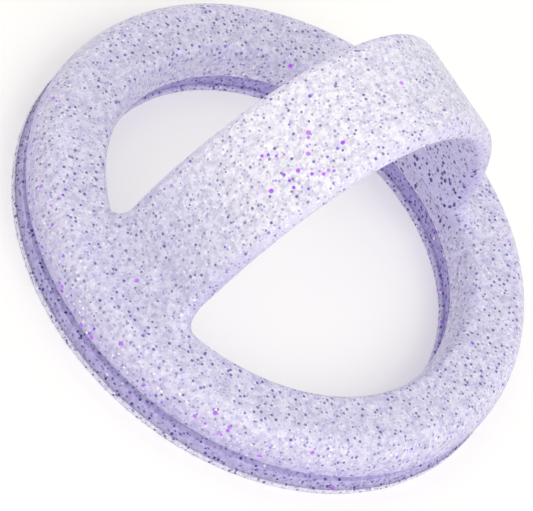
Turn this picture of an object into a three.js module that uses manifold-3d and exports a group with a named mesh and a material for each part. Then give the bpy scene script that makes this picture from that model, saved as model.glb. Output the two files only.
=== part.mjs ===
// A ring-shaped magnetic hand grip with a soft finger loop arched over its hole.
// Millimetres, +Z up. The ring stands on z = 0 with its centre on the Z axis, and the loop spans X.
import * as THREE from 'three';
import { mergeVertices } from 'three/addons/utils/BufferGeometryUtils.js';
import Module from 'manifold-3d';

// Ring, overall
const outerRadius = 30; // of the base pad, the widest piece
const ringWidth = 8.25; // of the base pad, from the outside to the hole
const ringHeight = 7.5; // from the surface that it stands on to the crown

// Base pad
const padThickness = 0.7;
const padChamfer = 0.15;
const padStepOut = 0.45; // how far the pad stands proud of the outer wall
const padStepIn = 0.35; // how far it stands proud of the hole's wall

// Silicone shells
const partingHeight = 2.6; // where the cover meets the base ring, at the bottom of the waist groove
const waistDepth = 0.55; // depth of the groove below the outer wall
const waistRise = 0.6; // height over which the wall runs in to the groove
const capStepOut = 0.35; // how far the cover's rounded edge stands proud of the outer wall
const capEdgeHeight = 3.3; // height of the cover's widest point
const capShoulderOut = 2.4; // radial run from the widest point to the crown
const capStepIn = 0.7; // how far the cover's edge stands proud of the hole's wall
const capInnerHeight = 3.3; // height of the cover's narrowest point, in the hole
const capShoulderIn = 1.3; // radial run of the rounded shoulder in the hole
const wall = 0.85; // of the shells, beside the magnets
const trayFloor = 0.8; // of the base ring, under the magnets
const roof = 1.5; // of the cover, over the magnets

// Magnet array
const magnetCount = 16;
const carrierRim = 0.45; // of the carrier, around the pockets
const carrierRib = 1; // between two pockets
const yokeThickness = 0.8;

// Finger loop
const loopHeight = 32.95; // top of the loop above the surface that the ring stands on
const loopWidth = 13.1;
const loopThickness = 2.7;
const loopEdge = 0.7; // rounding of the loop's long edges
const legLean = 84; // degrees, angle of the legs at the ring
const legPull = 0.4; // fullness of the legs, as a share of the arch's rise
const crownPull = 0.57; // fullness of the crown, as a share of the half span
const rootDrop = 0.6; // how far below the crown of the ring the arch starts
const rootFillet = 3; // run of the loop's foot onto the ring's top

const gap = 0.3; // between pieces that lie against each other
const ringSteps = 60;
const archSteps = 18; // on each half of the arch
const arcSteps = 6; // on a magnet and its pocket
const shoulderSteps = 5;

const holeRadius = outerRadius - ringWidth;
const wallOut = outerRadius - padStepOut;
const wallIn = holeRadius + padStepIn;
const waistRadius = wallOut - waistDepth;
const channelOut = waistRadius - wall;
const channelIn = wallIn + wall;
const channelTop = ringHeight - roof;
const baseBottom = padThickness + gap;
const baseFloor = baseBottom + trayFloor;
const baseTop = partingHeight - gap / 2;
const coverBottom = partingHeight + gap / 2;
const yokeTop = channelTop - gap;
const carrierBottom = baseFloor + gap;
const carrierTop = yokeTop - yokeThickness - gap;
const carrierOut = channelOut - gap;
const carrierIn = channelIn + gap;
const pocketOut = carrierOut - carrierRim;
const pocketIn = carrierIn + carrierRim;

const wasm = await Module();
wasm.setup();

// A closed geometry as a solid that can be joined and cut.
function toSolid(geometry) {
  const bare = geometry.clone();
  bare.deleteAttribute('normal');
  bare.deleteAttribute('uv');
  const merged = mergeVertices(bare, 1e-4);
  const vertProperties = merged.attributes.position.array;
  const triVerts = new Uint32Array(merged.index.array);
  return new wasm.Manifold(new wasm.Mesh({ numProp: 3, vertProperties, triVerts }));
}

function toGeometry(solid) {
  const { vertProperties, triVerts } = solid.getMesh();
  const geometry = new THREE.BufferGeometry();
  geometry.setAttribute('position', new THREE.BufferAttribute(vertProperties, 3));
  geometry.setIndex(new THREE.BufferAttribute(triVerts, 1));
  geometry.computeVertexNormals();
  return geometry;
}

// A ring turned from a closed section of [radius, height] points, listed anticlockwise.
function turned(section) {
  const points = [...section, section[0]].map(([r, z]) => new THREE.Vector2(r, z));
  const geometry = new THREE.LatheGeometry(points, ringSteps);
  return geometry.rotateX(Math.PI / 2);
}

// Points of a quarter of an ellipse about [r, z], from the angle start through a right angle.
function quarter(r, z, runR, runZ, start) {
  return Array.from({ length: shoulderSteps + 1 }, (_, i) => {
    const angle = start + (i / shoulderSteps) * (Math.PI / 2);
    return [r + runR * Math.cos(angle), z + runZ * Math.sin(angle)];
  });
}

// The cover's outer surface, from the outside over the crown to the hole, grown by a clearance.
function coverOutline(clear) {
  const edgeOut = wallOut + capStepOut + clear;
  const edgeIn = wallIn - capStepIn - clear;
  const top = ringHeight + clear;
  return [
    ...quarter(edgeOut - capShoulderOut, capEdgeHeight, capShoulderOut, top - capEdgeHeight, 0),
    ...quarter(edgeIn + capShoulderIn, capInnerHeight, capShoulderIn, top - capInnerHeight, Math.PI / 2),
  ];
}

function basePad() {
  const c = padChamfer;
  return turned([
    [holeRadius + c, 0],
    [outerRadius - c, 0],
    [outerRadius, c],
    [outerRadius, padThickness - c],
    [outerRadius - c, padThickness],
    [holeRadius + c, padThickness],
    [holeRadius, padThickness - c],
    [holeRadius, c],
  ]);
}

function baseRing() {
  return turned([
    [wallIn, baseBottom],
    [wallOut, baseBottom],
    [wallOut, partingHeight - waistRise],
    [waistRadius, baseTop],
    [channelOut, baseTop],
    [channelOut, baseFloor],
    [channelIn, baseFloor],
    [channelIn, baseTop],
    [wallIn, baseTop],
  ]);
}

function ringCover() {
  return turned([
    [channelOut, coverBottom],
    [waistRadius, coverBottom],
    ...coverOutline(0),
    [wallIn, coverBottom],
    [channelIn, coverBottom],
    [channelIn, channelTop],
    [channelOut, channelTop],
  ]);
}

function yokeRing() {
  const bottom = yokeTop - yokeThickness;
  return turned([[carrierIn, bottom], [carrierOut, bottom], [carrierOut, yokeTop], [carrierIn, yokeTop]]);
}

function circle(radius) {
  return Array.from({ length: ringSteps }, (_, i) => {
    const angle = (i / ringSteps) * 2 * Math.PI;
    return new THREE.Vector2(radius * Math.cos(angle), radius * Math.sin(angle));
  });
}

// An arc-shaped outline about the angle, between two radii, that leaves side free at each end.
function arc(inner, outer, angle, side) {
  const edge = (radius, sign) => angle + sign * (Math.PI / magnetCount - Math.asin(side / radius));
  const run = (radius, sign) => Array.from({ length: arcSteps + 1 }, (_, i) => {
    const along = THREE.MathUtils.lerp(edge(radius, -sign), edge(radius, sign), i / arcSteps);
    return new THREE.Vector2(radius * Math.cos(along), radius * Math.sin(along));
  });
  return [...run(outer, 1), ...run(inner, -1)];
}

const magnetAngle = (i) => ((i + 0.5) / magnetCount) * 2 * Math.PI;

function upright(shape, bottom, top) {
  const geometry = new THREE.ExtrudeGeometry(shape, { depth: top - bottom, bevelEnabled: false });
  return geometry.translate(0, 0, bottom);
}

function magnetCarrier() {
  const shape = new THREE.Shape(circle(carrierOut));
  shape.holes.push(new THREE.Path(circle(carrierIn)));
  for (let i = 0; i < magnetCount; i++) {
    shape.holes.push(new THREE.Path(arc(pocketIn, pocketOut, magnetAngle(i), carrierRib / 2)));
  }
  return upright(shape, carrierBottom, carrierTop);
}

function magnet(i) {
  const outline = arc(pocketIn + gap, pocketOut - gap, magnetAngle(i), carrierRib / 2 + gap);
  return upright(new THREE.Shape(outline), carrierBottom, carrierTop);
}

// Half of the arch in the XZ plane: its centre line runs from the foot at -X up to the crown.
function archHalf() {
  const halfSpan = holeRadius - loopThickness / 2;
  const foot = ringHeight - rootDrop;
  const crown = loopHeight - loopThickness / 2;
  const lean = THREE.MathUtils.degToRad(legLean);
  const pull = legPull * (crown - foot);
  return new THREE.CubicBezierCurve(
    new THREE.Vector2(-halfSpan, foot),
    new THREE.Vector2(-halfSpan + pull * Math.cos(lean), foot + pull * Math.sin(lean)),
    new THREE.Vector2(-crownPull * halfSpan, crown),
    new THREE.Vector2(0, crown),
  );
}

// The half arch's edge on one side of its centre line, from the foot to just before the crown.
function archEdge(side) {
  const curve = archHalf();
  return Array.from({ length: archSteps }, (_, i) => {
    const point = curve.getPoint(i / archSteps);
    const along = curve.getTangent(i / archSteps);
    return [point.x - side * along.y, point.y + side * along.x];
  });
}

// The loop is the arch's outline, with a foot at each end that spreads over the ring's shoulder.
function fingerLoop() {
  const outer = archEdge(loopThickness / 2);
  const inner = archEdge(-loopThickness / 2);
  const shoulder = ringHeight + rootFillet;
  const leg = outer.filter(([, z]) => z > shoulder);
  const [kneeX] = leg[0];
  const spread = quarter(kneeX - rootFillet, shoulder, rootFillet, rootFillet, -Math.PI / 2);
  const half = [
    [0, loopHeight - loopThickness],
    ...inner.reverse(),
    [-wallIn + capStepIn, capInnerHeight],
    [kneeX - rootFillet, capInnerHeight],
    ...spread,
    ...leg,
  ];
  const mirrored = [...half].reverse().map(([x, z]) => [-x, z]);
  const outline = [...half, [0, loopHeight], ...mirrored.slice(0, -1)];
  const shape = new THREE.Shape(outline.map(([x, z]) => new THREE.Vector2(x, z)));
  const strap = new THREE.ExtrudeGeometry(shape, {
    depth: loopWidth - 2 * loopEdge,
    bevelThickness: loopEdge,
    bevelSize: loopEdge,
    bevelOffset: -loopEdge,
    bevelSegments: 2,
  });
  strap.translate(0, 0, -loopWidth / 2 + loopEdge).rotateX(Math.PI / 2);
  const ring = turned([[wallIn - capStepIn - gap, 0], [wallOut + capStepOut + gap, 0], ...coverOutline(gap)]);
  return toGeometry(toSolid(strap).subtract(toSolid(ring)));
}

const silicone = new THREE.MeshStandardMaterial({ color: '#dad6ea', roughness: 0.45, metalness: 0 });
const darkerSilicone = new THREE.MeshStandardMaterial({ color: '#b3a8d6', roughness: 0.5, metalness: 0 });
const padRubber = new THREE.MeshStandardMaterial({ color: '#e8e5f1', roughness: 0.6, metalness: 0 });
const plastic = new THREE.MeshStandardMaterial({ color: '#f2f1ee', roughness: 0.55, metalness: 0 });
const nickel = new THREE.MeshStandardMaterial({ color: '#c9c7c2', roughness: 0.22, metalness: 1 });
const steel = new THREE.MeshStandardMaterial({ color: '#9da0a3', roughness: 0.4, metalness: 1 });

const grip = new THREE.Group();

function add(name, geometry, material) {
  const mesh = new THREE.Mesh(geometry, material);
  mesh.name = name;
  grip.add(mesh);
}

add('finger_loop', fingerLoop(), silicone);
add('ring_cover', ringCover(), silicone);
add('base_ring', baseRing(), darkerSilicone);
add('base_pad', basePad(), padRubber);
add('magnet_carrier', magnetCarrier(), plastic);
add('yoke_ring', yokeRing(), steel);
for (let i = 0; i < magnetCount; i++) {
  add('magnet_' + String(i + 1).padStart(2, '0'), magnet(i), nickel);
}

export default grip;
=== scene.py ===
import math

import bpy
from mathutils import Matrix, Vector
from mathutils.bvhtree import BVHTree
from mathutils.geometry import interpolate_bezier


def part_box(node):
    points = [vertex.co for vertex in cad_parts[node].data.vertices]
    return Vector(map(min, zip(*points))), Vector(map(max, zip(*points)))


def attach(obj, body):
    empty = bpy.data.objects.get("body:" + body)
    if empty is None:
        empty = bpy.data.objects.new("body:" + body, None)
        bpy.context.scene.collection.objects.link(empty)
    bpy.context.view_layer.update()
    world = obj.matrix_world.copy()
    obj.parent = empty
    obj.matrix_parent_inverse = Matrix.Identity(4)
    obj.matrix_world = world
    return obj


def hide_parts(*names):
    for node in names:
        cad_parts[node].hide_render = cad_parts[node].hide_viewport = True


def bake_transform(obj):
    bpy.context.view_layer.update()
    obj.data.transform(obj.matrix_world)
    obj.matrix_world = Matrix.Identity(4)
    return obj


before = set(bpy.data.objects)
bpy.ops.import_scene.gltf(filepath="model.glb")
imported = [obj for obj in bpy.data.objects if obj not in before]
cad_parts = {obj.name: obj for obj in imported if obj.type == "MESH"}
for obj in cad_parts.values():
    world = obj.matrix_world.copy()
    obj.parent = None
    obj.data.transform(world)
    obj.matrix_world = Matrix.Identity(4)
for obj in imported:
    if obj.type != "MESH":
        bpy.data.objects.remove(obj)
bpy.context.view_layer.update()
mm = 0.001
white = (1, 1, 1, 1)

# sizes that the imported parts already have
_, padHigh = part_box("base_pad")
coverLow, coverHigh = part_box("ring_cover")
baseLow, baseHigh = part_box("base_ring")
loopLow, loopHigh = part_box("finger_loop")
ringTop = coverHigh.z
partingHeight = (coverLow.z + baseHigh.z) / 2
loopHalfWidth = (loopHigh.y - loopLow.y) / 2

spinSteps = 144            # round the ring
mergeReach = 0.01 * mm     # points closer than this become one
sharpAngle = 40            # degrees; edges sharper than this stay sharp


def toLinear(hexColour):
    # sRGB hex to the linear numbers that the shaders work in
    channels = [int(hexColour[i:i + 2], 16) / 255 for i in (1, 3, 5)]
    linear = [c / 12.92 if c <= 0.04045 else ((c + 0.055) / 1.055) ** 2.4 for c in channels]
    return (*linear, 1)


def deselectAll():
    if bpy.context.object and bpy.context.object.mode != "OBJECT":
        bpy.ops.object.mode_set(mode="OBJECT")
    bpy.ops.object.select_all(action="DESELECT")


def pick(piece):
    deselectAll()
    piece.select_set(True)
    bpy.context.view_layer.objects.active = piece


def applyModifier(piece, kind, **settings):
    pick(piece)
    modifier = piece.modifiers.new(kind.lower(), kind)
    for name, value in settings.items():
        setattr(modifier, name, value)
    bpy.ops.object.modifier_apply(modifier=modifier.name)


def tidyMesh(piece):
    # slivers merged, faces turned outwards, shaded smooth except at sharp edges
    pick(piece)
    bpy.ops.object.mode_set(mode="EDIT")
    bpy.ops.mesh.select_all(action="SELECT")
    bpy.ops.mesh.remove_doubles(threshold=mergeReach)
    bpy.ops.mesh.normals_make_consistent(inside=False)
    bpy.ops.object.mode_set(mode="OBJECT")
    bpy.ops.object.shade_smooth_by_angle(angle=math.radians(sharpAngle))


def drawOutline(name, points):
    # one vertex, extruded from point to point in the XZ plane and closed on itself
    deselectAll()
    bpy.ops.mesh.primitive_plane_add(size=mm)
    piece = bpy.context.object
    piece.name = name
    bpy.ops.object.mode_set(mode="EDIT")
    bpy.ops.mesh.select_all(action="SELECT")
    bpy.ops.mesh.merge(type="CENTER")
    corners = [Vector((x, 0, z)) for x, z in points]
    bpy.ops.transform.translate(value=corners[0])
    for here, there in zip(corners, corners[1:] + corners[:1]):
        bpy.ops.mesh.extrude_region_move(TRANSFORM_OT_translate={"value": there - here})
    bpy.ops.mesh.select_all(action="SELECT")
    bpy.ops.mesh.remove_doubles(threshold=0.1 * mergeReach)
    return piece


def turnOutline(name, points):
    # the outline spun once round the Z axis
    piece = drawOutline(name, points)
    bpy.ops.mesh.select_all(action="SELECT")
    bpy.ops.mesh.spin(steps=spinSteps, angle=2 * math.pi, center=(0, 0, 0), axis=(0, 0, 1))
    bpy.ops.mesh.select_all(action="SELECT")
    bpy.ops.mesh.remove_doubles(threshold=0.1 * mergeReach)
    bpy.ops.mesh.normals_make_consistent(inside=False)
    bpy.ops.object.mode_set(mode="OBJECT")
    return piece


def quarterArc(centre, run, start, steps):
    # a quarter of an ellipse, from the angle start in degrees
    angles = [math.radians(start + 90 * i / steps) for i in range(steps + 1)]
    return [(centre[0] + run[0] * math.cos(a), centre[1] + run[1] * math.sin(a)) for a in angles]


# ---- moulded top: the ring's cover and the finger loop, one shot of silicone ----
moulding = {
    "edgeHeight": 3.3 * mm,        # of the cover's widest point
    "shoulderOut": 2.5 * mm,       # run of the outer shoulder
    "innerRadius": 21.4 * mm,      # of the edge in the hole
    "innerHeight": 3.2 * mm,
    "shoulderIn": 1.4 * mm,
    "waistRadius": 29.0 * mm,
    "innerWallRadius": 22.1 * mm,
    "innerWallRise": 0.3 * mm,     # of the hole's wall above the parting
    "skirt": 1.5 * mm,             # spare depth below the parting, cut off with the hollow
    "wall": 0.85 * mm,             # beside the magnets
    "roof": 1.5 * mm,              # over the magnets
    "thickness": 2.7 * mm,         # of the loop
    "edgeRound": 1.2 * mm,         # of the loop's long edges
    "halfSpan": 20.4 * mm,         # from the middle to the centre line of the loop's foot
    "legLean": 84,                 # degrees
    "legPull": 0.4,                # how far the curve follows the leg, and the crown
    "crownPull": 0.57,
    "rootDrop": 0.6 * mm,          # of the centre line's foot, below the ring's top
    "rootRise": 2.7 * mm,          # height of the fillet on the loop's outer face
    "rootFlare": 2.5 * mm,         # radius of the fillets at the loop's sides
    "innerRun": 2.2 * mm,          # how softly the inner face turns down into the hole's wall
    "voxel": 0.275 * mm,
    # the roots are smoothed wholly at the first place, and not at all at the second
    "rootAbove": (1.5 * mm, 5 * mm),        # over the ring's top
    "rootBelow": (4.2 * mm, 3.2 * mm),      # heights
    "rootBeside": (10 * mm, 13 * mm),       # from the loop's middle plane
    "rootWithin": (17 * mm, 15 * mm),       # from the ring's middle, along the loop
    "rootWithout": (26.2 * mm, 28.5 * mm),  # radii
    "rootSmoothing": 30,
    "skinSmoothing": 4,
    "seam": 0.01 * mm,             # hairline between the cover and the tray
    "cutterSpare": (5 * mm, 1 * mm),        # how far the hollow's cutter stands out, sideways and down
}


def coverOutline(m):
    edge = coverHigh.x
    dome = quarterArc((edge - m["shoulderOut"], m["edgeHeight"]),
                      (m["shoulderOut"], ringTop - m["edgeHeight"]), 0, 12)
    shoulder = quarterArc((m["innerRadius"] + m["shoulderIn"], m["innerHeight"]),
                          (m["shoulderIn"], ringTop - m["innerHeight"]), 90, 10)
    return dome + shoulder


def archPoint(m, t):
    # centre line of half the arch: a cubic curve from the foot at -X up to the crown
    halfSpan = m["halfSpan"]
    foot = ringTop - m["rootDrop"]
    crown = loopHigh.z - m["thickness"] / 2
    lean = math.radians(m["legLean"])
    pull = m["legPull"] * (crown - foot)
    controls = [
        Vector((-halfSpan, foot)),
        Vector((-halfSpan + pull * math.cos(lean), foot + pull * math.sin(lean))),
        Vector((-m["crownPull"] * halfSpan, crown)),
        Vector((0, crown)),
    ]
    u = 1 - t
    weights = (u ** 3, 3 * u * u * t, 3 * u * t * t, t ** 3)
    slopes = (-3 * u * u, 3 * u * u - 6 * u * t, 6 * u * t - 3 * t * t, 3 * t * t)
    point = sum((c * w for c, w in zip(controls, weights)), Vector((0, 0)))
    along = sum((c * s for c, s in zip(controls, slopes)), Vector((0, 0))).normalized()
    return point, along


def archEdge(m, side, above):
    # one face of the half arch, at side from its centre line, from the height above on
    steps = 30
    edge = []
    for i in range(steps):
        point, along = archPoint(m, i / steps)
        edge.append((point.x - side * along.y, point.y + side * along.x))
    return [p for p in edge if p[1] > above]


def loopOutline(m):
    # outside, the leg runs onto the ring's top in an arc that is tangent to both
    outer = archEdge(m, m["thickness"] / 2, ringTop + m["rootRise"])
    slope = math.atan2(outer[1][1] - outer[0][1], outer[1][0] - outer[0][0])
    reach = (outer[0][1] - ringTop) / (1 - math.cos(slope))
    centre = (outer[0][0] - reach * math.sin(slope), ringTop + reach)
    angles = [slope * i / 8 - math.pi / 2 for i in range(8)]
    spread = [(centre[0] + reach * math.cos(a), centre[1] + reach * math.sin(a)) for a in angles]

    # inside, it turns down into the hole's wall in an easy S
    inner = archEdge(m, -m["thickness"] / 2, ringTop + 0.5 * m["innerRun"])
    down = (Vector(inner[0]) - Vector(inner[1])).normalized() * m["innerRun"]
    end = Vector((-m["innerRadius"], m["innerHeight"]))
    start = Vector(inner[0])
    turn = interpolate_bezier(start, start + down, end + Vector((0, m["innerRun"])), end, 12)

    half = [(0, loopHigh.z - m["thickness"]), *reversed(inner), *((p.x, p.y) for p in turn[1:])]
    half += [(spread[0][0], m["innerHeight"]), *spread, *outer]
    mirrored = [(-x, z) for x, z in reversed(half)]
    return half + [(0, loopHigh.z)] + mirrored[:-1]


def flareSides(loop, ring, m):
    # the loop's sides spread where they come near the ring, as the mould's fillets do
    surface = BVHTree.FromObject(ring, bpy.context.evaluated_depsgraph_get())
    flare = m["rootFlare"]
    for vertex in loop.data.vertices:
        near, normal, _, away = surface.find_nearest(vertex.co)
        if (vertex.co - near).dot(normal) < 0:
            away = 0
        if away < flare:
            spread = flare - math.sqrt(flare ** 2 - (flare - away) ** 2)
            vertex.co.y *= 1 + spread / loopHalfWidth


def makeLoop(ring, m):
    loop = drawOutline("loop_blank", loopOutline(m))
    bpy.ops.mesh.select_all(action="SELECT")
    bpy.ops.transform.translate(value=(0, -loopHalfWidth, 0))
    bpy.ops.mesh.edge_face_add()
    bpy.ops.mesh.extrude_region_move(TRANSFORM_OT_translate={"value": (0, 2 * loopHalfWidth, 0)})
    bpy.ops.mesh.select_all(action="SELECT")
    bpy.ops.mesh.normals_make_consistent(inside=False)
    bpy.ops.object.mode_set(mode="OBJECT")
    applyModifier(loop, "BEVEL", width=m["edgeRound"], segments=5, limit_method="ANGLE",
                  angle_limit=math.radians(60), use_clamp_overlap=False)
    applyModifier(loop, "REMESH", mode="VOXEL", voxel_size=m["voxel"])
    flareSides(loop, ring, m)
    return loop


def fade(value, full, none):
    return min(1, max(0, (value - none) / (full - none)))


def nearRoot(m, co):
    # how much a point belongs to the loop's roots, from 0 to 1
    full, none = m["rootAbove"]
    upright = fade(co.z, ringTop + full, ringTop + none) * fade(co.z, *m["rootBelow"])
    beside = fade(abs(co.y), *m["rootBeside"]) * fade(abs(co.x), *m["rootWithin"])
    return upright * beside * fade(math.hypot(co.x, co.y), *m["rootWithout"])


def makeMoulding(m):
    low = partingHeight - m["skirt"]
    outline = [(m["innerWallRadius"], low), (m["waistRadius"], low), (m["waistRadius"], partingHeight)]
    outline += coverOutline(m) + [(m["innerWallRadius"], partingHeight + m["innerWallRise"])]
    ring = turnOutline("grip_moulding", outline)
    loop = makeLoop(ring, m)
    pick(ring)
    loop.select_set(True)
    bpy.ops.object.join()
    print("moulding: blanks joined")
    applyModifier(ring, "REMESH", mode="VOXEL", voxel_size=m["voxel"], use_smooth_shade=True)
    roots = ring.vertex_groups.new(name="roots")
    for vertex in ring.data.vertices:
        roots.add([vertex.index], nearRoot(m, vertex.co), "REPLACE")
    applyModifier(ring, "SMOOTH", factor=0.5, iterations=m["rootSmoothing"], vertex_group="roots")
    applyModifier(ring, "SMOOTH", factor=0.5, iterations=m["skinSmoothing"])
    print("moulding: roots filleted,", len(ring.data.polygons), "faces")

    # hollow for the magnets, and the flat underside
    outer, inner = m["waistRadius"] - m["wall"], m["innerWallRadius"] + m["wall"]
    wide, deep = m["cutterSpare"]
    bottom, below = partingHeight + m["seam"], low - deep
    roof = ringTop - m["roof"]
    cutter = turnOutline("hollow", [
        (inner - wide, below), (outer + wide, below), (outer + wide, bottom), (outer, bottom),
        (outer, roof), (inner, roof), (inner, bottom), (inner - wide, bottom)])
    applyModifier(ring, "BOOLEAN", operation="DIFFERENCE", object=cutter, solver="EXACT")
    bpy.data.objects.remove(cutter)
    tidyMesh(ring)
    return ring


# ---- tray below the waist, and the pale lip under it ----
tray = {
    "wallOut": 29.6 * mm,
    "wallIn": 22.1 * mm,
    "waistRise": 0.6 * mm,
    "floor": 0.8 * mm,
    "lipGap": 0.01 * mm,
    "footRun": 0.34 * mm,          # soft run of the wall onto the lip, outwards and up
    "footRise": 0.544 * mm,
}


def makeTray(t, m):
    bottom, top = padHigh.z + t["lipGap"], partingHeight - m["seam"]
    floor = baseLow.z + t["floor"]
    channelOut, channelIn = m["waistRadius"] - m["wall"], t["wallIn"] + m["wall"]
    waist = quarterArc((t["wallOut"], partingHeight),
                       (t["wallOut"] - m["waistRadius"], t["waistRise"]), 180, 6)
    foot = quarterArc((t["wallOut"] + t["footRun"], bottom + t["footRise"]),
                      (t["footRun"], t["footRise"]), 180, 6)
    outline = [(t["wallIn"], bottom), *reversed(foot), *waist[:0:-1], (m["waistRadius"], top),
               (channelOut, top), (channelOut, floor), (channelIn, floor), (channelIn, top),
               (t["wallIn"], top)]
    piece = turnOutline("base_tray", outline)
    tidyMesh(piece)
    return piece


lip = {"innerRadius": 21.75 * mm, "edge": 0.06 * mm}


def makeLip(settings):
    inner, outer, high = settings["innerRadius"], padHigh.x, padHigh.z
    piece = turnOutline("base_lip", [(inner, 0), (outer, 0), (outer, high), (inner, high)])
    applyModifier(piece, "BEVEL", width=settings["edge"], segments=4, limit_method="ANGLE",
                  angle_limit=math.radians(60))
    tidyMesh(piece)
    return piece


# ---- materials ----
def newMaterial(name):
    material = bpy.data.materials.new(name)
    material.use_nodes = True
    material.node_tree.nodes.clear()
    return material, material.node_tree


def addNode(tree, kind, settings=None, links=None):
    # links holds values or other nodes' outputs, by input name or number
    node = tree.nodes.new(kind)
    for name, value in (settings or {}).items():
        setattr(node, name, value)
    for name, value in (links or {}).items():
        if isinstance(value, bpy.types.NodeSocket):
            tree.links.new(value, node.inputs[name])
        else:
            node.inputs[name].default_value = value
    return node


# settings that several nodes share
softly = {"interpolation_type": "SMOOTHSTEP"}
blending = {"data_type": "RGBA"}
casting = {"data_type": "RGBA", "blend_type": "MULTIPLY"}

# silicone rubber with polyester glitter stirred in, moulded in one shot: milky and softly lit from
# within, with a satin skin, a fine cloudy mottle, and round flakes at different depths
# its colour also holds painted shade on the walls, in the groove and on the loop's edges and inner face,
# painted light through the loop, and painted glints
glitterSilicone = {
    # painted shade by height above the floor in mm: deep on the walls and in the groove, where shade falls,
    # and pale on top
    "outside": ((0.75, "#C8BFEC"), (1.2, "#BDB4E1"), (1.9, "#C0B8DF"), (2.3, "#BDB6DB"),
                (3.3, "#BFB8DC"), (3.9, "#CAC4E3"), (5.0, "#D5D0E8"), (6.6, "#DFDBED")),
    "hole": ((0.9, "#BBB0E2"), (3.1, "#B7ACE0"), (3.35, "#DFDBEE"), (7.0, "#DDDAEB")),
    "holeEdge": (24 * mm, 28 * mm),        # radii where the hole's tones give way to the outside's
    "loop": "#F4F1F6",                     # where light comes through the strap
    "loopFar": "#E4E1EC",                  # on the side away from the lamp
    "loopFarFrom": (-12 * mm, 12 * mm),
    "loopTurn": "#CAC3E0",                 # painted shade, where it turns down at that end
    "loopTurnFrom": (13 * mm, 20 * mm),
    "loopFade": (12 * mm, 27 * mm),        # heights between which the ring's tone turns into the loop's
    "loopEdge": "#F1EEF9",                 # painted shade on the loop's long edges
    "loopEdgeFrom": (5.2 * mm, 6.4 * mm),
    "loopEdgeHeights": (8 * mm, 14 * mm),
    "inside": "#F4F1FF",                   # painted shade on the inner face of the loop
    "insideWidth": (5.5 * mm, 9 * mm),     # fades out beside the loop
    "insideHeights": (3.3 * mm, 3.6 * mm),
    "insideFacing": (-0.1, 0.8),           # from turned away to facing the loop's middle
    "insideMiddle": (0, 0, 12 * mm),
    "mottle": 0.65 * mm,
    "mottleRange": (0.3, 0.66),
    "mottleTone": "#DDDBE8",
    "mottleCalm": 0.6,                     # holds the mottle back on the loop's edges and inner face
    "lift": (1.04, 1.22),                  # of the tone, between the pale flakes and on them
    "roughness": 0.42,
    "ior": 1.41,
    "glow": 0.5,                           # of the light that scatters inside, none on dark flakes
    "glowScale": 1.5 * mm,
    "glowRadius": (0.9, 0.8, 1.3),
    "bump": 0.15,
    "bumpDepth": 0.02 * mm,
    # each layer of flakes: spacing and radii in mm, share of the cells that hold a flake, a shift that
    # keeps the layers apart, its two end colours, and how strongly the faintest and the clearest show
    "softFlakes": {"spacing": 0.46, "radius": (0.12, 0.18), "share": 0.8, "shift": 1.3},
    "deepFlakes": {"spacing": 0.50, "radius": (0.12, 0.18), "share": 0.75, "shift": 3.1,
                   "colours": ("#6A5DB4", "#8D82CC"), "shows": (0.2, 0.65)},
    "wallFlakes": {"spacing": 0.57, "radius": (0.15, 0.23), "share": 0.95, "shift": 6.9,
                   "colours": ("#150C5C", "#40369C"), "shows": (0.5, 1.0)},
    "innerFlakes": {"spacing": 0.72, "radius": (0.19, 0.29), "share": 0.95, "shift": 4.4,
                    "colours": ("#0A0450", "#30248C"), "shows": (0.8, 1.0), "stretch": (1, 1, 0.65)},
    "darkFlakes": {"spacing": 0.63, "radius": (0.15, 0.23), "share": 0.78, "shift": 0.0,
                   "colours": ("#150A66", "#40339E"), "shows": (0.24, 0.82)},
    # painted glints: white flakes where they catch the light
    "glintFlakes": {"spacing": 0.9, "radius": (0.14, 0.21), "shift": 5.7,
                    "colours": ("#FFFFFF", "#FFFFFF"), "shows": (0.5, 1.0)},
    # a few violet flakes, and painted violet glints at the loop's flank and the rim
    "violetFlakesAndGlints": {"spacing": 0.9, "radius": (0.14, 0.31), "share": 0.03, "shift": 8.3,
                     "colours": ("#4A35D8", "#C85CFA"), "shows": (0.65, 1.0)},
    "wallFlakeHeights": (2.6 * mm, 3.4 * mm),
    "innerFlakesFrom": (0.5, 0.9),         # of the inner face's strength
    "darkThins": (9 * mm, 20 * mm),        # heights between which the dark flakes thin out
    "darkThinned": 0.75,
    "darkFar": 0.22,                       # more of them on the far side, and on the loop's edges
    "darkEdge": 0.3,
    "glintPatch": 7 * mm,                       # size of the patches where the white flakes, painted glints, gather
    "glintPatchRange": (0.5, 0.68),
    "glintPatchShare": (0.02, 0.5),
    "rimRadii": (28.3 * mm, 29.2 * mm),    # the ring's rim, where the white and violet flakes, painted glints, gather
    "rimHeights": (3.0 * mm, 3.6 * mm),
    "rimWhite": 0.5,
    "rimViolet": 0.35,
    "flash": (-12.8 * mm, -1.6 * mm, 26.8 * mm),   # painted glints: where the loop's flank catches the lamp, full of violet flakes
    "flashReach": (2.275 * mm, 6.5 * mm),
    "flashShare": 0.9,
}

# the pad under the tray is paler, darker at its very bottom, and has more of the white flakes, painted glints
paleSilicone = dict(
    glitterSilicone,
    outside=((0.0, "#D3CCEE"), (0.3, "#ECE9F8"), (0.7, "#E6E1F6")),
    hole=((0.0, "#CDC6E8"), (0.7, "#D6D1ED")),
    glintFlakes=dict(glitterSilicone["glintFlakes"], spacing=0.6),
)


def addToneByHeight(tree, height, stops):
    # the tone at each height, blended between the stops
    top = 8
    level = addNode(tree, "ShaderNodeMath", {"operation": "DIVIDE"}, {0: height, 1: top * mm}).outputs[0]
    ramp = addNode(tree, "ShaderNodeValToRGB", links={0: level})
    elements = ramp.color_ramp.elements
    while len(elements) < len(stops):
        elements.new(1)
    for element, (stopHeight, colour) in zip(elements, stops):
        element.position = stopHeight / top
        element.color = toLinear(colour)
    return ramp.outputs[0]


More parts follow.
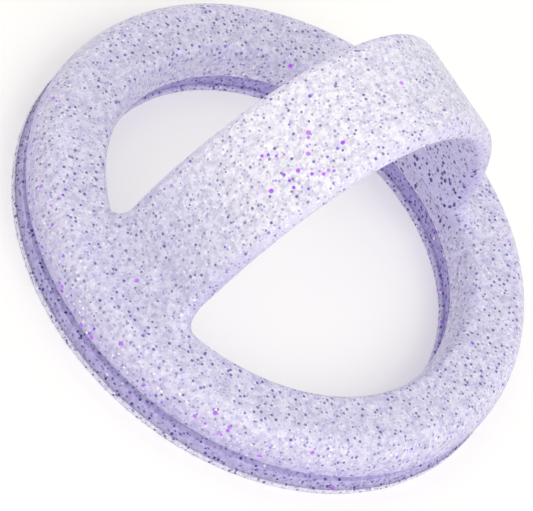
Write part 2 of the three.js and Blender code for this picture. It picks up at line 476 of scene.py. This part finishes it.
def addFlakeMask(tree, coords, layer, share):
    # round flakes: cells of the layer's spacing, each with its own size and strength
    shift = layer["shift"] * mm
    moved = addNode(tree, "ShaderNodeMapping", links={
        "Vector": coords, "Location": (shift, -2 * shift, 3 * shift),
        "Scale": layer.get("stretch", (1, 1, 1))})
    cells = addNode(tree, "ShaderNodeTexVoronoi", links={
        "Vector": moved.outputs[0], "Scale": 1000 / layer["spacing"]})
    dice = addNode(tree, "ShaderNodeSeparateColor", links={0: cells.outputs["Color"]})
    low, high = (r / layer["spacing"] for r in layer["radius"])
    radius = addNode(tree, "ShaderNodeMapRange", links={0: dice.outputs[1], 3: low, 4: high})
    nearness = addNode(tree, "ShaderNodeMath", {"operation": "DIVIDE"},
                       {0: cells.outputs["Distance"], 1: radius.outputs[0]})
    disc = addNode(tree, "ShaderNodeMapRange", softly, {0: nearness.outputs[0], 1: 1.0, 2: 0.7, 3: 0, 4: 1})
    there = addNode(tree, "ShaderNodeMath", {"operation": "LESS_THAN"}, {0: dice.outputs[0], 1: share})
    mask = addNode(tree, "ShaderNodeMath", {"operation": "MULTIPLY"},
                   {0: disc.outputs[0], 1: there.outputs[0]})
    return mask.outputs[0], dice


def addFlakes(tree, coords, under, layer, share):
    # a layer of flakes laid over the colour under
    mask, dice = addFlakeMask(tree, coords, layer, share)
    low, high = layer["shows"]
    shows = addNode(tree, "ShaderNodeMapRange", links={0: dice.outputs[2], 3: low, 4: high})
    mask = addNode(tree, "ShaderNodeMath", {"operation": "MULTIPLY"},
                   {0: mask, 1: shows.outputs[0]}).outputs[0]
    first, second = (toLinear(colour) for colour in layer["colours"])
    tint = addNode(tree, "ShaderNodeMix", blending, {0: dice.outputs[1], 6: first, 7: second})
    mixed = addNode(tree, "ShaderNodeMix", blending, {0: mask, 6: under, 7: tint.outputs[2]})
    return mixed.outputs[2], mask


def makeGlitterSilicone(name, s):
    material, tree = newMaterial(name)
    coords = addNode(tree, "ShaderNodeTexCoord").outputs["Object"]
    place = addNode(tree, "ShaderNodeSeparateXYZ", links={0: coords})
    across, sideways, height = place.outputs
    flat = addNode(tree, "ShaderNodeCombineXYZ", links={0: across, 1: sideways}).outputs[0]
    radius = addNode(tree, "ShaderNodeVectorMath", {"operation": "LENGTH"}, {0: flat}).outputs["Value"]
    aside = addNode(tree, "ShaderNodeMath", {"operation": "ABSOLUTE"}, {0: sideways}).outputs[0]

    # painted shade on the ring, by height
    start, end = s["holeEdge"]
    outward = addNode(tree, "ShaderNodeMapRange", softly, {0: radius, 1: start, 2: end}).outputs[0]
    ring = addNode(tree, "ShaderNodeMix", blending, {
        0: outward, 6: addToneByHeight(tree, height, s["hole"]),
        7: addToneByHeight(tree, height, s["outside"])}).outputs[2]

    # the loop is palest where light comes through it, and painted shade makes it deeper where it turns down
    start, end = s["loopFade"]
    raised = addNode(tree, "ShaderNodeMapRange", softly, {0: height, 1: start, 2: end}).outputs[0]
    start, end = s["loopFarFrom"]
    away = addNode(tree, "ShaderNodeMapRange", softly, {0: across, 1: start, 2: end}).outputs[0]
    start, end = s["loopTurnFrom"]
    turned = addNode(tree, "ShaderNodeMapRange", softly, {0: across, 1: start, 2: end}).outputs[0]
    loop = addNode(tree, "ShaderNodeMix", blending,
                   {0: away, 6: toLinear(s["loop"]), 7: toLinear(s["loopFar"])}).outputs[2]
    loop = addNode(tree, "ShaderNodeMix", blending,
                   {0: turned, 6: loop, 7: toLinear(s["loopTurn"])}).outputs[2]
    body = addNode(tree, "ShaderNodeMix", blending, {0: raised, 6: ring, 7: loop}).outputs[2]

    # painted shade: its long edges are a little deeper
    start, end = s["loopEdgeFrom"]
    edge = addNode(tree, "ShaderNodeMapRange", softly, {0: aside, 1: start, 2: end}).outputs[0]
    start, end = s["loopEdgeHeights"]
    high = addNode(tree, "ShaderNodeMapRange", softly, {0: height, 1: start, 2: end}).outputs[0]
    edge = addNode(tree, "ShaderNodeMath", {"operation": "MULTIPLY"}, {0: edge, 1: high}).outputs[0]
    cast = addNode(tree, "ShaderNodeMix", blending,
                   {0: edge, 6: white, 7: toLinear(s["loopEdge"])}).outputs[2]
    body = addNode(tree, "ShaderNodeMix", casting, {0: 1.0, 6: body, 7: cast}).outputs[2]

    # painted shade on its inner face too, which looks towards the loop's middle
    normal = addNode(tree, "ShaderNodeNewGeometry").outputs["Normal"]
    spot = addNode(tree, "ShaderNodeCombineXYZ", links={0: across, 2: height}).outputs[0]
    toMiddle = addNode(tree, "ShaderNodeVectorMath", {"operation": "SUBTRACT"},
                       {0: s["insideMiddle"], 1: spot}).outputs[0]
    inwards = addNode(tree, "ShaderNodeVectorMath", {"operation": "NORMALIZE"}, {0: toMiddle}).outputs[0]
    facing = addNode(tree, "ShaderNodeVectorMath", {"operation": "DOT_PRODUCT"},
                     {0: normal, 1: inwards}).outputs["Value"]
    start, end = s["insideFacing"]
    facing = addNode(tree, "ShaderNodeMapRange", softly, {0: facing, 1: start, 2: end}).outputs[0]
    start, end = s["insideWidth"]
    between = addNode(tree, "ShaderNodeMapRange", softly, {0: aside, 1: start, 2: end, 3: 1, 4: 0}).outputs[0]
    start, end = s["insideHeights"]
    above = addNode(tree, "ShaderNodeMapRange", softly, {0: height, 1: start, 2: end}).outputs[0]
    under = addNode(tree, "ShaderNodeMath", {"operation": "MULTIPLY"}, {0: between, 1: above}).outputs[0]
    inner = addNode(tree, "ShaderNodeMath", {"operation": "MULTIPLY"}, {0: facing, 1: under}).outputs[0]
    cast = addNode(tree, "ShaderNodeMix", blending,
                   {0: inner, 6: white, 7: toLinear(s["inside"])}).outputs[2]
    body = addNode(tree, "ShaderNodeMix", casting, {0: 1.0, 6: body, 7: cast}).outputs[2]

    # fine mottling of the fill, calmer on the edges and the inner face
    grain = addNode(tree, "ShaderNodeTexNoise", links={
        "Vector": coords, "Scale": 1 / s["mottle"], "Detail": 2.0, "Roughness": 0.7}).outputs[0]
    start, end = s["mottleRange"]
    light = addNode(tree, "ShaderNodeMapRange", softly, {0: grain, 1: start, 2: end}).outputs[0]
    calm = addNode(tree, "ShaderNodeMath", {"operation": "MAXIMUM"}, {0: edge, 1: inner}).outputs[0]
    calm = addNode(tree, "ShaderNodeMath", {"operation": "MULTIPLY"},
                   {0: calm, 1: s["mottleCalm"]}).outputs[0]
    light = addNode(tree, "ShaderNodeMath", {"operation": "MAXIMUM"}, {0: light, 1: calm}).outputs[0]
    cast = addNode(tree, "ShaderNodeMix", blending,
                   {0: light, 6: toLinear(s["mottleTone"]), 7: white}).outputs[2]
    body = addNode(tree, "ShaderNodeMix", casting, {0: 1.0, 6: body, 7: cast}).outputs[2]

    # flakes too deep to show clearly, pale and violet
    softMask, _ = addFlakeMask(tree, coords, s["softFlakes"], s["softFlakes"]["share"])
    low, high = s["lift"]
    lift = addNode(tree, "ShaderNodeMapRange", links={0: softMask, 3: low, 4: high}).outputs[0]
    colour = addNode(tree, "ShaderNodeVectorMath", {"operation": "SCALE"},
                     {0: body, "Scale": lift}).outputs[0]
    colour, _ = addFlakes(tree, coords, colour, s["deepFlakes"], s["deepFlakes"]["share"])

    # clear dark flakes: thick on the walls and the loop's inner face, thinner high on the loop
    start, end = s["wallFlakeHeights"]
    share = addNode(tree, "ShaderNodeMapRange", softly,
                    {0: height, 1: start, 2: end, 3: s["wallFlakes"]["share"], 4: 0}).outputs[0]
    colour, wallMask = addFlakes(tree, coords, colour, s["wallFlakes"], share)
    start, end = s["innerFlakesFrom"]
    share = addNode(tree, "ShaderNodeMapRange", softly,
                    {0: inner, 1: start, 2: end, 3: 0, 4: s["innerFlakes"]["share"]}).outputs[0]
    colour, innerMask = addFlakes(tree, coords, colour, s["innerFlakes"], share)
    start, end = s["darkThins"]
    full = s["darkFlakes"]["share"]
    share = addNode(tree, "ShaderNodeMapRange", softly,
                    {0: height, 1: start, 2: end, 3: full, 4: s["darkThinned"] * full}).outputs[0]
    share = addNode(tree, "ShaderNodeMath", {"operation": "MULTIPLY_ADD"},
                    {0: away, 1: s["darkFar"], 2: share}).outputs[0]
    share = addNode(tree, "ShaderNodeMath", {"operation": "MULTIPLY_ADD"},
                    {0: edge, 1: s["darkEdge"], 2: share}).outputs[0]
    colour, darkMask = addFlakes(tree, coords, colour, s["darkFlakes"], share)

    # painted glints: white flakes in patches and along the rim, where flakes catch the light
    glintPatch = addNode(tree, "ShaderNodeTexNoise", links={
        "Vector": coords, "Scale": 1 / s["glintPatch"], "Detail": 1.0}).outputs[0]
    start, end = s["rimRadii"]
    rim = addNode(tree, "ShaderNodeMapRange", softly, {0: radius, 1: start, 2: end}).outputs[0]
    start, end = s["rimHeights"]
    above = addNode(tree, "ShaderNodeMapRange", softly, {0: height, 1: start, 2: end}).outputs[0]
    rim = addNode(tree, "ShaderNodeMath", {"operation": "MULTIPLY"}, {0: rim, 1: above}).outputs[0]
    start, end = s["glintPatchRange"]
    low, high = s["glintPatchShare"]
    share = addNode(tree, "ShaderNodeMapRange", softly,
                    {0: glintPatch, 1: start, 2: end, 3: low, 4: high}).outputs[0]
    share = addNode(tree, "ShaderNodeMath", {"operation": "MULTIPLY_ADD"},
                    {0: rim, 1: s["rimWhite"], 2: share}).outputs[0]
    colour, _ = addFlakes(tree, coords, colour, s["glintFlakes"], share)

    # a few violet flakes everywhere, and painted violet glints where the flank catches the lamp and along the
    # rim
    apart = addNode(tree, "ShaderNodeVectorMath", {"operation": "DISTANCE"},
                    {0: coords, 1: s["flash"]}).outputs["Value"]
    start, end = s["flashReach"]
    few = s["violetFlakesAndGlints"]["share"]
    share = addNode(tree, "ShaderNodeMapRange", softly,
                    {0: apart, 1: start, 2: end, 3: s["flashShare"], 4: few}).outputs[0]
    share = addNode(tree, "ShaderNodeMath", {"operation": "MULTIPLY_ADD"},
                    {0: rim, 1: s["rimViolet"], 2: share}).outputs[0]
    colour, _ = addFlakes(tree, coords, colour, s["violetFlakesAndGlints"], share)

    # light scatters inside, except in the dark flakes
    dark = addNode(tree, "ShaderNodeMath", {"operation": "MAXIMUM"}, {0: darkMask, 1: wallMask}).outputs[0]
    dark = addNode(tree, "ShaderNodeMath", {"operation": "MAXIMUM"}, {0: dark, 1: innerMask}).outputs[0]
    glow = addNode(tree, "ShaderNodeMapRange", links={0: dark, 3: s["glow"], 4: 0}).outputs[0]
    bump = addNode(tree, "ShaderNodeBump", links={
        "Height": grain, "Strength": s["bump"], "Distance": s["bumpDepth"]}).outputs[0]
    shader = addNode(tree, "ShaderNodeBsdfPrincipled", links={
        "Base Color": colour, "Roughness": s["roughness"], "IOR": s["ior"], "Normal": bump,
        "Subsurface Weight": glow, "Subsurface Scale": s["glowScale"], "Subsurface Radius": s["glowRadius"]})
    addNode(tree, "ShaderNodeOutputMaterial", links={"Surface": shader.outputs[0]})
    return material


# white nylon, injection moulded: matt, with a faint cloudiness
carrierNylon = {"colour": "#F2F1EE", "shade": "#E6E4DE", "roughness": (0.42, 0.55),
                "cloud": 3.0 * mm, "grain": 0.25 * mm, "metallic": 0.0}
# nickel plate over sintered magnets: bright, with the pits of the sintered body softly showing
magnetNickel = {"colour": "#CBC8C2", "shade": "#B4B0A8", "roughness": (0.18, 0.32),
                "cloud": 1.5 * mm, "grain": 0.2 * mm, "metallic": 1.0}
# cold-rolled steel strip, stamped: greyer and duller, with rolling marks
yokeSteel = {"colour": "#9DA0A3", "shade": "#84878B", "roughness": (0.3, 0.45),
             "cloud": 2.0 * mm, "grain": 0.12 * mm, "metallic": 1.0}
cloudTones = (0.35, 0.65)
cloudGloss = (0.3, 0.7)
innerBump, innerBumpDepth = 0.2, 0.01 * mm


def makeInnerFinish(name, s):
    material, tree = newMaterial(name)
    coords = addNode(tree, "ShaderNodeTexCoord").outputs["Object"]
    cloud = addNode(tree, "ShaderNodeTexNoise", links={
        "Vector": coords, "Scale": 1 / s["cloud"], "Detail": 4.0}).outputs[0]
    grain = addNode(tree, "ShaderNodeTexNoise", links={
        "Vector": coords, "Scale": 1 / s["grain"], "Detail": 2.0}).outputs[0]
    start, end = cloudTones
    shaded = addNode(tree, "ShaderNodeMapRange", softly, {0: cloud, 1: start, 2: end}).outputs[0]
    colour = addNode(tree, "ShaderNodeMix", blending,
                     {0: shaded, 6: toLinear(s["colour"]), 7: toLinear(s["shade"])}).outputs[2]
    start, end = cloudGloss
    low, high = s["roughness"]
    roughness = addNode(tree, "ShaderNodeMapRange", softly,
                        {0: cloud, 1: start, 2: end, 3: low, 4: high}).outputs[0]
    bump = addNode(tree, "ShaderNodeBump", links={
        "Height": grain, "Strength": innerBump, "Distance": innerBumpDepth}).outputs[0]
    shader = addNode(tree, "ShaderNodeBsdfPrincipled", links={
        "Base Color": colour, "Roughness": roughness, "Metallic": s["metallic"], "Normal": bump})
    addNode(tree, "ShaderNodeOutputMaterial", links={"Surface": shader.outputs[0]})
    return material


def setMaterial(piece, material):
    piece.data.materials.clear()
    piece.data.materials.append(material)


# ---- floor, light and camera ----
studio = {
    "floor": "#E2E0DB",
    "floorSize": 4,
    "floorDrop": 0.02 * mm,        # keeps the floor just clear of the pad's underside
    "floorRoughness": 0.9,
    "floorGlow": 0.27,
    "sky": 0.78,
    "keyPower": 4.5,
    "keySize": 0.9,
    "keyFrom": (-0.22, -0.62, 0.88),
}

view = {
    "azimuth": 202.13,             # degrees
    "elevation": 45.79,
    "roll": 39.92,
    "distance": 475.5 * mm,
    "lens": 294.0,
    "aim": (0.39 * mm, -0.04 * mm),
}


def makeStudio(s):
    deselectAll()
    bpy.ops.mesh.primitive_plane_add(size=s["floorSize"], location=(0, 0, -s["floorDrop"]))
    floor = bpy.context.object
    floor.name = "floor"
    # uncoated paper: matt and white, with a little glow so that it stays white where no lamp reaches
    material, tree = newMaterial("matt white paper")
    shader = addNode(tree, "ShaderNodeBsdfPrincipled", links={
        "Base Color": toLinear(s["floor"]), "Roughness": s["floorRoughness"],
        "Emission Color": white, "Emission Strength": s["floorGlow"]})
    addNode(tree, "ShaderNodeOutputMaterial", links={"Surface": shader.outputs[0]})
    setMaterial(floor, material)
    world = bpy.data.worlds.new("soft white room")
    bpy.context.scene.world = world
    world.use_nodes = True
    background = world.node_tree.nodes["Background"]
    background.inputs["Color"].default_value = white
    background.inputs["Strength"].default_value = s["sky"]
    bpy.ops.object.light_add(type="AREA", location=s["keyFrom"])
    key = bpy.context.object
    key.data.energy = s["keyPower"]
    key.data.size = s["keySize"]
    key.rotation_euler = Vector(s["keyFrom"]).to_track_quat("Z", "Y").to_euler()


def makeCamera(v):
    azimuth, elevation, roll = (math.radians(v[name]) for name in ("azimuth", "elevation", "roll"))
    level = math.cos(elevation)
    back = Vector((math.cos(azimuth) * level, math.sin(azimuth) * level, math.sin(elevation)))
    sideways = Vector((0, 0, 1)).cross(back).normalized()
    upright = back.cross(sideways)
    right = sideways * math.cos(roll) + upright * math.sin(roll)
    up = upright * math.cos(roll) - sideways * math.sin(roll)
    camera = bpy.data.objects.new("camera", bpy.data.cameras.new("camera"))
    camera.data.lens = v["lens"]
    place = back * v["distance"] + right * v["aim"][0] + up * v["aim"][1]
    camera.matrix_world = Matrix.Translation(place) @ Matrix((right, up, back)).transposed().to_4x4()
    bpy.context.scene.collection.objects.link(camera)
    bpy.context.scene.camera = camera


makeStudio(studio)
makeCamera(view)
bpy.context.scene.view_settings.view_transform = "Standard"
print("studio and camera made")

silicone = makeGlitterSilicone("glitter silicone, moulded", glitterSilicone)
paleLip = makeGlitterSilicone("pale glitter silicone, cast under the tray", paleSilicone)

gripMoulding = makeMoulding(moulding)
setMaterial(gripMoulding, silicone)
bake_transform(gripMoulding)
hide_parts("finger_loop", "ring_cover")
print("moulding finished")

baseTray = makeTray(tray, moulding)
setMaterial(baseTray, silicone)
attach(baseTray, "ring")
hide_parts("base_ring")

baseLip = makeLip(lip)
setMaterial(baseLip, paleLip)
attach(baseLip, "ring")
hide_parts("base_pad")
print("tray and lip finished")

# what is held inside keeps its own shape, and only gets its finish
nylon = makeInnerFinish("white nylon, injection moulded", carrierNylon)
steel = makeInnerFinish("cold-rolled steel, stamped", yokeSteel)
nickel = makeInnerFinish("nickel plate on sintered magnets", magnetNickel)
for name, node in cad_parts.items():
    if name.startswith("magnet_") or name == "yoke_ring":
        finish = {"magnet_carrier": nylon, "yoke_ring": steel}.get(name, nickel)
        for slot in node.material_slots:
            slot.material = finish
print("inner pieces finished")
